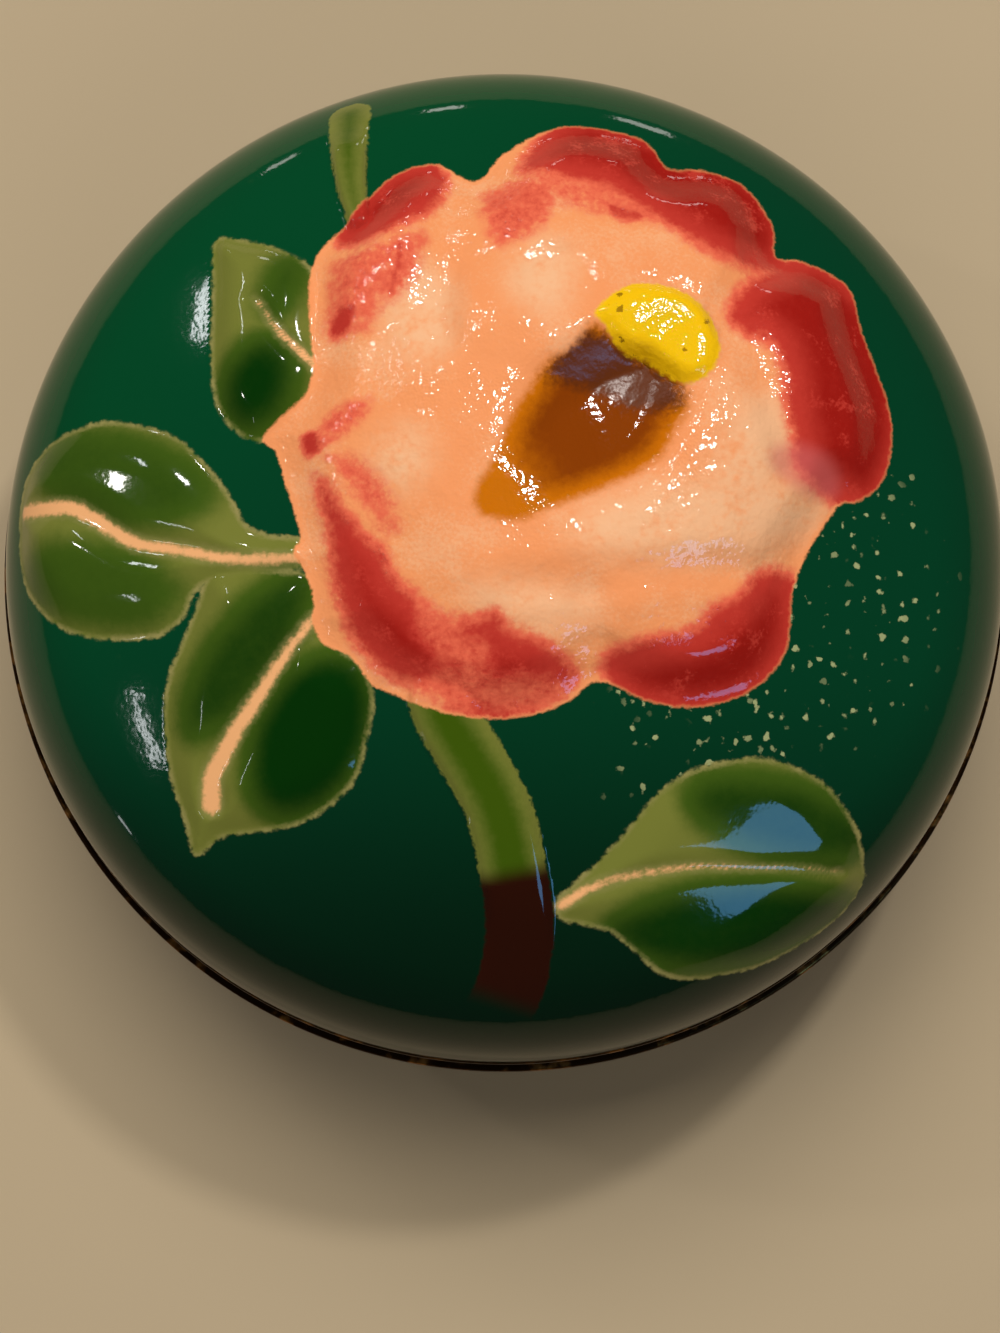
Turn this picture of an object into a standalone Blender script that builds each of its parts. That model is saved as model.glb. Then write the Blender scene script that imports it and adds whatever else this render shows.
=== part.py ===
"""A small round enamelled trinket box with a loose domed lid, in metres, +Z up.

The lid and the base are thin metal shells under fused enamel, each closed at the seam by a
brass rim. The lid is embossed with a camellia, its stems and four leaves. The base stands on a
low foot ring. The origin is under the middle of the foot, and the front is at -Y.
"""
import math

import bmesh
import bpy
import numpy as np

# The body
BOX_DIAMETER = 0.075
WALL = 0.0016
GAP = 0.0003

# The lid, from the seam up
LID_RISE = 0.0185
LID_SHOULDER = 0.0100
LID_SKIRT = 0.0030

# The base, from the seam down to the underside of its bowl
BASE_DROP = 0.0160
BASE_SHOULDER = 0.0105
BASE_SKIRT = 0.0030
FOOT_DIAMETER = 0.0460
FOOT_DROP = 0.0025
FOOT_WALL = 0.0022

# The brass rims at the seam, and the collar that keeps the lid in its place
LID_RIM_HEIGHT = 0.0012
LID_RIM_PROUD = 0.0001
BASE_RIM_HEIGHT = 0.0014
BASE_RIM_PROUD = 0.0006
RIM_WIDTH = 0.0018
COLLAR_RISE = 0.0026
COLLAR_WALL = 0.0009
COLLAR_CLEARANCE = 0.0003

# The embossing, drawn in millimetres over the dome with the crown at (0, 0) and +Y away from
# the front. A lid whose dome measures DRAWN_REACH from crown to skirt carries it at full size.
DRAWN_REACH = 43.9
PETAL_RISE = 1.0
PETAL_EDGE = 2.4
PETAL_CROWN = 0.6
FOLD_DEPTH = 0.4
FOLD_WIDTH = 1.5
RIB_WIDTH = 0.5
RIB_FLOOR = 0.9
RIB_SLOPE = 1.4
STEM_RISE = 0.8
STEM_SINKS = 0.75
FADE_START = 34.0
FADE_END = 41.0

# The flower's edge is a closed curve through these points, with a notch between petals
FLOWER = [
    (-14.0, 11.9), (-14.3, 14.4), (-14.5, 17.4), (-14.4, 20.1), (-13.7, 21.7), (-11.8, 23.7),
    (-8.9, 27.4), (-5.5, 28.6), (-2.4, 27.0), (-0.3, 29.4), (3.1, 31.7), (6.2, 32.1), (10.4, 31.1),
    (12.2, 28.7), (14.9, 28.7), (18.0, 27.6), (20.1, 24.3), (20.2, 21.7), (22.4, 21.5),
    (25.8, 19.8), (26.8, 16.2), (28.6, 10.7), (28.9, 7.6), (28.0, 4.5), (25.9, 2.8), (24.6, 2.5),
    (22.4, -0.7), (21.0, -4.1), (20.5, -8.5), (17.9, -11.4), (14.2, -12.6), (10.5, -12.3),
    (6.8, -10.9), (4.7, -12.3), (1.9, -13.4), (-1.7, -13.6), (-5.3, -12.9), (-8.5, -11.7),
    (-9.5, -11.2), (-11.0, -9.2), (-12.9, -8.3), (-13.8, -6.8), (-13.7, -5.4), (-14.1, -3.6),
    (-15.2, -1.6), (-14.7, -0.5), (-15.8, 3.1), (-16.6, 5.7), (-17.6, 7.0), (-14.8, 9.8),
]
# Each petal rises over it as an ellipse: its middle, half length, half width and turn in degrees
PETALS = {
    "upper_left": (-8.2, 21.3, 8.8, 5.0, 57),
    "top": (4.5, 24.9, 8.6, 6.6, 34),
    "upper_right": (12.2, 21.5, 8.5, 6.8, 31),
    "inner": (4.0, 16.0, 9.5, 6.5, 15),
    "right": (20.3, 14.0, 8.0, 5.9, 58),
    "right_lower": (21.9, 11.3, 9.4, 6.2, -61),
    "outer_right": (13.9, 3.5, 19.3, 9.7, 57),
    "lower_right": (10.9, -3.8, 10.7, 8.3, -29),
    "bottom": (-1.7, -3.8, 11.7, 9.9, -8),
    "left": (-2.5, 3.6, 14.5, 12.1, -30),
}
# Valleys where one petal meets the next, each a curve through its points
FOLDS = {
    "upper_left": [(-3.1, 26.5), (-4.6, 22.9), (-4.8, 18.5), (-4.7, 13.5)],
    "right": [(19.8, 21.1), (17.6, 19.0), (16.1, 16.6), (17.4, 13.6), (18.6, 9.8), (20.0, 5.0)],
    "across": [(2.4, -2.7), (5.2, -2.5), (11.4, -2.3), (17.4, -2.6), (20.7, -3.2)],
    "lower": [(6.7, -10.5), (6.3, -7.9), (6.0, -5.1)],
}
# The heart of the flower rises over the petals. A shallow bowl lies in it, with the throat, a
# trough that deepens towards the stamens, in its middle, and a small cup beside it.
HEART = (7.5, 8.0, 16.0, 13.2, 40)
HEART_RISE = 1.0
HEART_EDGE = 8.0
BOWL = (4.0, 9.2, 13.0, 9.0, 50)
BOWL_DEPTH = 0.5
BOWL_EDGE = 5.5
THROAT = (5.9, 6.9, 8.6, 4.4, 47)
THROAT_DEPTH = 2.0
THROAT_EDGE = 5.0
THROAT_SHALLOW = 0.1
CUP = (3.7, 18.0, 2.9, 2.6, 40)
CUP_DEPTH = 0.4
CUP_EDGE = 2.4
STAMENS = [(6.5, 15.7), (7.1, 17.7), (8.9, 19.1), (11.5, 19.4), (14.5, 17.6), (15.9, 15.3),
           (15.7, 12.5), (13.6, 10.9), (10.4, 11.8), (7.9, 12.8)]
STAMENS_RISE = 0.8
STAMENS_EDGE = 1.6

# Each leaf is a closed curve through its outline's points, parted by the curve of its midrib,
# with the width over which its lobes rise and how high they stand
LEAVES = {
    "upper_left": (
        [(-22.0, 22.9), (-19.3, 22.6), (-17.0, 21.8), (-14.6, 20.2), (-13.7, 17.6), (-14.0, 14.4),
         (-13.6, 11.9), (-14.4, 9.4), (-16.6, 7.2), (-18.5, 6.7), (-20.8, 8.7), (-21.7, 11.8),
         (-22.0, 19.1)],
        [(-18.4, 17.5), (-16.9, 15.3), (-15.1, 13.4), (-13.0, 11.6)],
        2.4, 0.85),
    "left": (
        [(-38.4, 2.8), (-37.6, 5.5), (-35.3, 7.5), (-32.5, 8.5), (-29.7, 8.9), (-26.9, 8.3),
         (-24.2, 7.2), (-22.0, 5.2), (-20.1, 2.8), (-18.8, 0.5), (-17.0, -0.3), (-14.7, -0.6),
         (-13.9, -1.8), (-14.7, -2.9), (-19.8, -3.4), (-21.9, -3.8), (-22.8, -4.7), (-23.4, -6.1),
         (-25.1, -7.4), (-27.8, -7.7), (-31.1, -7.4), (-34.1, -6.2), (-36.7, -3.9), (-38.0, -1.2),
         (-38.2, 1.1)],
        [(-37.2, 2.6), (-34.5, 2.5), (-32.3, 2.3), (-30.8, 1.6), (-29.5, 0.8), (-28.1, -0.1),
         (-26.7, -0.7), (-23.5, -1.3), (-19.8, -2.0), (-16.9, -2.1), (-13.4, -2.0)],
        3.6, 0.9),
    "lower_left": (
        [(-22.4, -5.2), (-21.6, -3.2), (-19.8, -2.7), (-16.2, -2.9), (-13.9, -3.4), (-13.4, -6.0),
         (-13.3, -7.4), (-11.8, -8.6), (-10.2, -9.7), (-9.3, -11.9), (-9.7, -14.8), (-10.5, -17.8),
         (-12.3, -19.8), (-14.9, -21.3), (-18.0, -21.9), (-20.7, -22.3), (-22.8, -23.7),
         (-23.5, -21.3), (-24.5, -18.2), (-24.9, -15.2), (-25.0, -12.7), (-24.5, -10.1),
         (-23.4, -7.7)],
        [(-12.8, -5.4), (-13.8, -6.6), (-15.7, -9.1), (-16.8, -10.7), (-17.9, -12.4),
         (-19.2, -14.2), (-20.3, -16.1), (-21.2, -17.9), (-21.3, -19.8)],
        2.8, 0.9),
    "lower_right": (
        [(4.0, -26.8), (5.5, -25.2), (7.5, -23.3), (9.4, -21.1), (11.2, -18.9), (13.4, -17.3),
         (15.7, -16.6), (18.4, -16.2), (21.1, -16.7), (23.6, -17.9), (25.2, -19.5), (26.6, -21.5),
         (27.6, -24.1), (28.1, -25.9), (27.3, -28.2), (25.6, -29.8), (23.0, -31.3), (19.9, -32.5),
         (17.3, -32.8), (14.4, -33.0), (11.9, -32.3), (9.9, -30.6), (8.0, -29.1), (5.7, -28.5),
         (4.2, -28.1)],
        [(4.3, -27.1), (6.4, -25.8), (8.8, -24.9), (13.2, -24.2), (15.5, -24.1), (18.6, -24.2),
         (22.2, -24.2), (25.5, -24.6)],
        2.8, 0.5),
}
# Each stem is a curve through its middle line's points, with its half width at either end
STEMS = {
    "top": ([(-11.0, 24.0), (-11.7, 27.0), (-12.0, 30.0), (-12.3, 35.0)], 0.9, 1.7),
    "main": ([(-4.6, -12.2), (-3.8, -14.0), (-1.8, -17.2), (-0.2, -20.4), (0.8, -24.6),
              (1.3, -28.4), (0.9, -32.4), (-0.2, -35.6)], 2.3, 2.6),
}

# The facets
LID_SIDES = 120
LID_RINGS = 29
BASE_SIDES = 60
RIM_SIDES = 60
SHOULDER_STEPS = 5
INNER_STEPS = 3
CURVE_STEPS = 8

RADIUS = BOX_DIAMETER / 2
SEAM_Z = FOOT_DROP + BASE_DROP


class Dome:
    """The side of a shallow dome: a crown arc, a tighter shoulder arc and a straight skirt.

    Heights run up from the foot of the skirt, and the two arcs share their tangent.
    """

    def __init__(self, radius, rise, shoulder, skirt):
        across = radius - shoulder
        above = rise - skirt
        self.radius, self.rise, self.shoulder, self.skirt = radius, rise, shoulder, skirt
        self.crown = (across ** 2 + above ** 2 - shoulder ** 2) / (2 * (above - shoulder))
        self.join = math.asin(across / (self.crown - shoulder))
        self.crown_reach = self.crown * self.join
        self.reach = self.crown_reach + shoulder * (math.pi / 2 - self.join)

    def at(self, reach):
        """Radius, height and tilt of the surface at a length measured from the crown."""
        reach = np.asarray(reach, dtype=float)
        on_crown = reach < self.crown_reach
        beyond = np.minimum(reach - self.crown_reach, self.reach - self.crown_reach)
        tilt = np.where(on_crown, reach / self.crown, self.join + beyond / self.shoulder)
        crown_middle = self.rise - self.crown
        radius = np.where(on_crown, self.crown * np.sin(tilt),
                          self.radius - self.shoulder + self.shoulder * np.sin(tilt))
        height = np.where(on_crown, crown_middle + self.crown * np.cos(tilt),
                          self.skirt + self.shoulder * np.cos(tilt))
        height = height - np.maximum(reach - self.reach, 0)
        return radius, height, tilt

    def inside(self, wall):
        """The dome that lies one wall inside this one."""
        return Dome(self.radius - wall, self.rise - wall, self.shoulder - wall, self.skirt)

    def reaches(self, crown_steps, shoulder_steps, start=0.0):
        """Lengths at which to put rings, from a start on the crown to the skirt's top."""
        crown = np.linspace(start, self.crown_reach, crown_steps + 1)[:-1]
        shoulder = np.linspace(self.crown_reach, self.reach, shoulder_steps + 1)
        return np.concatenate([crown, shoulder])


def curve_through(points, closed):
    """Catmull-Rom curve through the points, as straight pieces."""
    knots = np.array(points, dtype=float)
    if closed:
        ends = [knots[-1:], knots, knots[:2]]
    else:
        ends = [2 * knots[:1] - knots[1:2], knots, 2 * knots[-1:] - knots[-2:-1]]
    knots = np.concatenate(ends)
    share = np.linspace(0, 1, CURVE_STEPS, endpoint=False)[:, None]
    line = []
    for before, start, end, after in zip(knots, knots[1:], knots[2:], knots[3:]):
        line.append(0.5 * (2 * start + (end - before) * share
                           + (2 * before - 5 * start + 4 * end - after) * share ** 2
                           + (3 * start - before - 3 * end + after) * share ** 3))
    line.append(line[0][:1] if closed else knots[-2:-1])
    return np.concatenate(line)


def distance_to(line, x, y):
    """Distance from each place to a line of straight pieces, and the share of it passed."""
    best = np.full(x.shape, np.inf)
    passed = np.zeros(x.shape)
    pieces = len(line) - 1
    for index in range(pieces):
        start = line[index]
        along = line[index + 1] - start
        share = ((x - start[0]) * along[0] + (y - start[1]) * along[1]) / (along @ along)
        share = np.clip(share, 0, 1)
        gap = np.hypot(x - start[0] - share * along[0], y - start[1] - share * along[1])
        nearer = gap < best
        best = np.where(nearer, gap, best)
        passed = np.where(nearer, (index + share) / pieces, passed)
    return best, passed


def depth_in_ellipse(ellipse, x, y):
    """About how far each place lies inside an ellipse's edge, below zero when outside."""
    middle_x, middle_y, length, width, turn = ellipse
    cos, sin = math.cos(math.radians(turn)), math.sin(math.radians(turn))
    along = cos * (x - middle_x) + sin * (y - middle_y)
    across = cos * (y - middle_y) - sin * (x - middle_x)
    ratio = np.hypot(along / length, across / width)
    local = ratio / (np.hypot(along / length ** 2, across / width ** 2) + 1e-9)
    share = np.minimum(ratio, 1)
    return (1 - ratio) * (width * (1 - share) + local * share)


def depth_in_curve(line, x, y):
    """How far each place lies inside a closed line, below zero when outside."""
    gap, _ = distance_to(line, x, y)
    inside = np.zeros(x.shape, dtype=bool)
    for start, end in zip(line, line[1:]):
        crosses = (start[1] > y) != (end[1] > y)
        rise = end[1] - start[1]
        at_x = start[0] + (end[0] - start[0]) * (y - start[1]) / (rise if rise else 1)
        inside ^= crosses & (x < at_x)
    return np.where(inside, gap, -gap)


def swell(depth, edge):
    """A rounded step: 0 outside, then a quarter sine up to 1 over the edge's width."""
    return np.sin(np.clip(depth / edge, 0, 1) * math.pi / 2)


def ramp(depth, edge):
    """A soft step from 0 to 1 over the edge's width, half way up at the edge itself."""
    share = np.clip(depth / edge + 0.5, 0, 1)
    return share * share * (3 - 2 * share)


def throat_depth(x, y):
    """A trough along an ellipse, shallow at its first end and deepest past its middle."""
    middle_x, middle_y, length, _, turn = THROAT
    cos, sin = math.cos(math.radians(turn)), math.sin(math.radians(turn))
    along = (cos * (x - middle_x) + sin * (y - middle_y)) / length
    share = THROAT_SHALLOW + (1 - THROAT_SHALLOW) * ramp(along + 0.15, 1.5)
    return THROAT_DEPTH * share * ramp(depth_in_ellipse(THROAT, x, y), THROAT_EDGE)


def flower_height(x, y):
    """A rounded edge, a crown on each petal, folds between them, the heart and what lies in it."""
    crown = np.zeros(x.shape)
    for ellipse in PETALS.values():
        crown = np.maximum(crown, swell(depth_in_ellipse(ellipse, x, y), ellipse[3]))
    edge = swell(depth_in_curve(curve_through(FLOWER, True), x, y), PETAL_EDGE)
    height = edge * (PETAL_RISE + PETAL_CROWN * crown)
    for points in FOLDS.values():
        gap, _ = distance_to(curve_through(points, False), x, y)
        height -= FOLD_DEPTH * ramp(FOLD_WIDTH / 2 - gap, FOLD_WIDTH) * (height > FOLD_DEPTH)
    height += HEART_RISE * ramp(depth_in_ellipse(HEART, x, y), HEART_EDGE)
    height -= BOWL_DEPTH * ramp(depth_in_ellipse(BOWL, x, y), BOWL_EDGE)
    height -= throat_depth(x, y)
    height -= CUP_DEPTH * ramp(depth_in_ellipse(CUP, x, y), CUP_EDGE)
    stamens = depth_in_curve(curve_through(STAMENS, True), x, y)
    return height + STAMENS_RISE * swell(stamens, STAMENS_EDGE)


def leaf_height(outline, rib, edge, rise, x, y):
    """Two puffed lobes that fall to the outline and to the midrib between them."""
    inside = depth_in_curve(curve_through(outline, True), x, y)
    rib_gap, _ = distance_to(curve_through(rib, False), x, y)
    lobe = np.minimum(inside, RIB_SLOPE * np.maximum(rib_gap - RIB_WIDTH, 0) + RIB_FLOOR)
    return rise * swell(lobe, edge)


def stem_height(points, first_width, last_width, x, y):
    """A rounded bar whose half width runs from one end's to the other's, sinking at its last."""
    gap, passed = distance_to(curve_through(points, False), x, y)
    width = first_width + (last_width - first_width) * passed
    sunk = ramp(passed - STEM_SINKS, 0.3)
    return STEM_RISE * (1 - sunk) * (1 - np.clip(gap / width, 0, 1) ** 2)


def embossing(x, y):
    """Height of the embossing over the dome, in drawn millimetres."""
    height = flower_height(x, y)
    for outline, rib, edge, rise in LEAVES.values():
        height = np.maximum(height, leaf_height(outline, rib, edge, rise, x, y))
    for points, first_width, last_width in STEMS.values():
        height = np.maximum(height, stem_height(points, first_width, last_width, x, y))
    fade_middle = (FADE_START + FADE_END) / 2
    return height * ramp(fade_middle - np.hypot(x, y), FADE_END - FADE_START)


def ring_points(radius, height, sides):
    """One ring of points around the axis, or a single point on it."""
    if radius <= 0:
        return np.array([[0.0, 0.0, height]])
    turn = np.arange(sides) * 2 * math.pi / sides
    return np.stack([radius * np.cos(turn), radius * np.sin(turn), np.full(sides, height)], axis=1)


def band_faces(first, second):
    """Faces between two rings of vertex numbers, the second equal, half as many, or one."""
    faces = []
    many, few = len(first), len(second)
    for index in range(many):
        after = (index + 1) % many
        if few == many:
            faces.append((first[index], first[after], second[after], second[index]))
        elif few == 1:
            faces.append((first[index], first[after], second[0]))
        else:
            near = second[index // 2 % few]
            beyond = second[(index // 2 + 1) % few]
            if index % 2:
                faces.append((first[index], first[after], beyond))
            else:
                faces.append((first[index], first[after], near))
                faces.append((first[after], beyond, near))
    return faces


def ringed_mesh(name, rings, closed):
    """Mesh from rings of points; a closed one joins its last ring to its first."""
    numbers = []
    points = []
    for ring in rings:
        numbers.append(range(len(points), len(points) + len(ring)))
        points.extend(ring.tolist())
    faces = []
    pairs = list(zip(numbers, numbers[1:]))
    if closed:
        pairs.append((numbers[-1], numbers[0]))
    for first, second in pairs:
        if len(first) >= len(second):
            faces.extend(band_faces(first, second))
        else:
            faces.extend(face[::-1] for face in band_faces(second, first))
    mesh = bpy.data.meshes.new(name)
    mesh.from_pydata(points, [], faces)
    work = bmesh.new()
    work.from_mesh(mesh)
    bmesh.ops.recalc_face_normals(work, faces=work.faces)
    work.to_mesh(mesh)
    work.free()
    mesh.shade_smooth()
    mesh.set_sharp_from_angle(angle=math.radians(50))
    return mesh


def lathe(name, profile, sides, closed):
    """Mesh turned about the axis from a profile of (radius, height) points."""
    return ringed_mesh(name, [ring_points(radius, height, sides) for radius, height in profile], closed)


def material(name, colour, roughness, metallic):
    """A plain Principled material."""
    made = bpy.data.materials.new(name)
    made.use_nodes = True
    shader = made.node_tree.nodes["Principled BSDF"]
    shader.inputs["Base Color"].default_value = (*colour, 1.0)
    shader.inputs["Roughness"].default_value = roughness
    shader.inputs["Metallic"].default_value = metallic
    made.diffuse_color = (*colour, 1.0)
    return made


def place(name, mesh, height, finish):
    """Put a mesh in the scene as an object at a height on the axis."""
    thing = bpy.data.objects.new(name, mesh)
    thing.location.z = height
    mesh.materials.append(finish)
    bpy.context.scene.collection.objects.link(thing)
    return thing


def sides_at(radius, outer_radius, sides):
    """Sides of a ring, halved each time the ring has shrunk by half."""
    while radius < outer_radius * 0.45 and sides % 2 == 0:
        sides //= 2
        radius *= 2
    return sides


def embossed_ring(dome, reach, sides):
    """Ring of the lid's outer face, moved out along the dome's normal by the embossing."""
    scale = dome.reach / DRAWN_REACH
    turn = np.arange(sides) * 2 * math.pi / sides
    radius, height, tilt = dome.at(reach)
    drawn = reach / scale
    lift = embossing(drawn * np.cos(turn), drawn * np.sin(turn)) * scale
    radius = radius + lift * np.sin(tilt)
    return np.stack([radius * np.cos(turn), radius * np.sin(turn), height + lift * np.cos(tilt)], axis=1)


def lid_mesh():
    """Shell of the lid, heights from the seam: embossed outside, plain inside."""
    edge = LID_RIM_HEIGHT + GAP
    outer = Dome(RADIUS, LID_RISE, LID_SHOULDER, LID_SKIRT)
    inner = outer.inside(WALL)
    rings = [embossed_ring(outer, 0.0, 1)]
    for reach in np.linspace(0, outer.reach, LID_RINGS + 1)[1:]:
        rings.append(embossed_ring(outer, reach, sides_at(reach, outer.reach, LID_SIDES)))
    rings.append(ring_points(outer.radius, edge, LID_SIDES))
    rings.append(ring_points(inner.radius, edge, LID_SIDES))
    for reach in inner.reaches(INNER_STEPS, INNER_STEPS)[::-1]:
        radius, height, _ = inner.at(reach)
        sides = sides_at(reach, inner.reach, LID_SIDES // 2)
        rings.append(ring_points(float(radius), float(height), sides))
    return ringed_mesh("lid", rings, False)


def base_mesh():
    """Bowl of the base with its foot ring, heights from the seam, as one turned profile."""
    edge = -BASE_RIM_HEIGHT - GAP
    outer = Dome(RADIUS, BASE_DROP, BASE_SHOULDER, BASE_SKIRT)
    inner = outer.inside(WALL)
    foot = FOOT_DIAMETER / 2
    foot_inside = foot - FOOT_WALL
    ground = -BASE_DROP - FOOT_DROP
    profile = [(0.0, -BASE_DROP)]
    under_reach = outer.crown * math.asin(foot_inside / outer.crown)
    foot_reach = outer.crown * math.asin(foot / outer.crown)
    radius, drop, _ = outer.at(under_reach)
    profile.append((foot_inside, -float(drop)))
    profile.append((foot_inside, ground))
    profile.append((foot, ground))
    for reach in outer.reaches(1, SHOULDER_STEPS, foot_reach):
        radius, drop, _ = outer.at(reach)
        profile.append((float(radius), -float(drop)))
    profile.append((outer.radius, edge))
    profile.append((inner.radius, edge))
    for reach in inner.reaches(INNER_STEPS, INNER_STEPS)[::-1]:
        radius, drop, _ = inner.at(reach)
        profile.append((float(radius) if reach else 0.0, -float(drop)))
    return lathe("base", profile, BASE_SIDES, False)


def lid_rim_mesh():
    """Flat brass ring under the lid's edge, heights from the seam."""
    outer = RADIUS + LID_RIM_PROUD
    inner = RADIUS - RIM_WIDTH
    low = GAP / 2
    round_off = LID_RIM_HEIGHT / 4
    profile = [(inner, low), (outer - round_off, low), (outer, low + round_off),
               (outer, LID_RIM_HEIGHT), (inner, LID_RIM_HEIGHT)]
    return lathe("lid_rim", profile, RIM_SIDES, True)


def base_rim_mesh():
    """Brass ring on the base's edge with its standing collar, heights from the seam."""
    outer = RADIUS + BASE_RIM_PROUD
    collar_out = RADIUS - RIM_WIDTH - COLLAR_CLEARANCE
    collar_in = collar_out - COLLAR_WALL
    top = -GAP / 2
    round_off = BASE_RIM_HEIGHT / 4
    profile = [(collar_in, -BASE_RIM_HEIGHT), (outer - round_off, -BASE_RIM_HEIGHT),
               (outer, round_off - BASE_RIM_HEIGHT), (outer, top - round_off), (outer - round_off, top),
               (collar_out, top), (collar_out, COLLAR_RISE), (collar_in, COLLAR_RISE)]
    return lathe("base_rim", profile, RIM_SIDES, True)


for old in list(bpy.data.objects):
    bpy.data.objects.remove(old)

ENAMEL = material("enamel", (0.0, 0.055, 0.035), 0.12, 0.0)
BASE_ENAMEL = material("base_enamel", (0.0, 0.05, 0.032), 0.14, 0.0)
LID_BRASS = material("lid_brass", (0.42, 0.27, 0.10), 0.32, 1.0)
BASE_BRASS = material("base_brass", (0.42, 0.27, 0.10), 0.32, 1.0)

place("lid", lid_mesh(), SEAM_Z, ENAMEL)
place("lid_rim", lid_rim_mesh(), SEAM_Z, LID_BRASS)
place("base", base_mesh(), SEAM_Z, BASE_ENAMEL)
place("base_rim", base_rim_mesh(), SEAM_Z, BASE_BRASS)
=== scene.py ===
"""Looks of a round enamelled trinket box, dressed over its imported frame.

The file follows the box as it is put together: the camera, the embossed lid, the lid's rim, the
base, the base's rim, and then the floor and the lights. Lengths are metres, and the lid's spray
is drawn in millimetres over the dome, with the crown at (0, 0).
"""

import math

import bpy
import numpy as np
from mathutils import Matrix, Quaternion, Vector


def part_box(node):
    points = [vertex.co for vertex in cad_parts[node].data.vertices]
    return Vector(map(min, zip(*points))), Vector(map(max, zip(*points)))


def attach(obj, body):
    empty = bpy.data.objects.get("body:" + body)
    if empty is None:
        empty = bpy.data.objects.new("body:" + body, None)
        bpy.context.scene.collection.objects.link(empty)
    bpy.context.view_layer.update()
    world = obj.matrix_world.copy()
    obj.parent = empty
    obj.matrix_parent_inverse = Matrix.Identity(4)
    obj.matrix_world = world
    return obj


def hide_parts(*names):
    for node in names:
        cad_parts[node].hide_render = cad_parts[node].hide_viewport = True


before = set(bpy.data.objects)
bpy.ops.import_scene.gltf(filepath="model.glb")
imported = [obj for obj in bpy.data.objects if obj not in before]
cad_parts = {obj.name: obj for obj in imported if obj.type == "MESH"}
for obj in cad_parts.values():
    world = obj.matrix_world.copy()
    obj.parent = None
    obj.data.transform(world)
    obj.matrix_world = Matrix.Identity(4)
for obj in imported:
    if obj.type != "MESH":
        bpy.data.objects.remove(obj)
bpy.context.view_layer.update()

# The camera looks almost straight down, leaning a little towards the front, so that the lid
# fills the picture's width and a line of the rim shows below it.
PHOTO_WIDTH = 1000
CAMERA_LEAN = math.radians(9.0)
CAMERA_DISTANCE = 0.300
CAMERA_AIM = (-0.00028, -0.00751)
FOCAL_PIXELS = 3940
HALF_SEAM_GAP = 0.00015

seam_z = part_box("lid_rim")[0][2] - HALF_SEAM_GAP


def camera_at(place, aim):
    """Add the camera at one place, looking at another, with +Y up in its picture."""
    data = bpy.data.cameras.new("camera")
    data.sensor_fit = "HORIZONTAL"
    data.lens = FOCAL_PIXELS / PHOTO_WIDTH * data.sensor_width
    data.clip_start = 0.01
    camera = bpy.data.objects.new("camera", data)
    bpy.context.scene.collection.objects.link(camera)
    camera.location = place
    camera.rotation_euler = (Vector(aim) - Vector(place)).to_track_quat("-Z", "Y").to_euler()
    bpy.context.scene.camera = camera


camera_at((0, -CAMERA_DISTANCE * math.sin(CAMERA_LEAN),
           seam_z + CAMERA_DISTANCE * math.cos(CAMERA_LEAN)), (*CAMERA_AIM, seam_z))

# The lid is a shallow spun dome of copper, embossed with a camellia spray and coated inside and
# out with fused enamel. A crown arc and a tighter shoulder arc run down to a short straight skirt.
LID_RISE = 0.0185
LID_SHOULDER = 0.0100
LID_SKIRT = 0.0030
WALL = 0.0016
LID_CELLS = 288
INNER_RINGS = 9
SHARP_ANGLE = 50

lid_low, lid_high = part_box("lid")
body_radius = (lid_high[0] - lid_low[0]) / 2
lid_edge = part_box("lid_rim")[1][2] - seam_z


class Dome:
    """Side of a shallow dome: a crown arc and a shoulder arc that share a tangent, and a skirt."""

    def __init__(self, radius, rise, shoulder, skirt):
        across = radius - shoulder
        above = rise - skirt
        self.radius, self.rise, self.shoulder, self.skirt = radius, rise, shoulder, skirt
        self.crown = (across ** 2 + above ** 2 - shoulder ** 2) / (2 * (above - shoulder))
        self.join = math.asin(across / (self.crown - shoulder))
        self.crown_reach = self.crown * self.join
        self.reach = self.crown_reach + shoulder * (math.pi / 2 - self.join)

    def at(self, reach):
        """Radius, height and tilt at a length from the crown: sine and cosine of each arc."""
        on_crown = reach < self.crown_reach
        tilt = np.where(on_crown, reach / self.crown,
                        self.join + (reach - self.crown_reach) / self.shoulder)
        radius = np.where(on_crown, self.crown * np.sin(tilt),
                          self.radius + self.shoulder * (np.sin(tilt) - 1))
        height = np.where(on_crown, self.rise + self.crown * (np.cos(tilt) - 1),
                          self.skirt + self.shoulder * np.cos(tilt))
        return radius, height, tilt

    def inside(self, wall):
        """The dome one wall further in."""
        return Dome(self.radius - wall, self.rise - wall, self.shoulder - wall, self.skirt)


def curve_through(points, closed):
    """Catmull-Rom curve through the points: each span is a cubic of its four nearest points."""
    knots = np.array(points, dtype=float)
    if closed:
        ends = [knots[-1:], knots, knots[:2]]
    else:
        ends = [2 * knots[:1] - knots[1:2], knots, 2 * knots[-1:] - knots[-2:-1]]
    knots = np.concatenate(ends)[:, None, :]
    share = np.linspace(0, 1, 8, endpoint=False)[None, :, None]
    before, start, end, after = knots[:-3], knots[1:-2], knots[2:-1], knots[3:]
    line = 0.5 * (2 * start + (end - before) * share
                  + (2 * before - 5 * start + 4 * end - after) * share ** 2
                  + (3 * start - before - 3 * end + after) * share ** 3)
    line = line.reshape(-1, 2)
    return np.concatenate([line, line[:1] if closed else knots[-2]])


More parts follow.
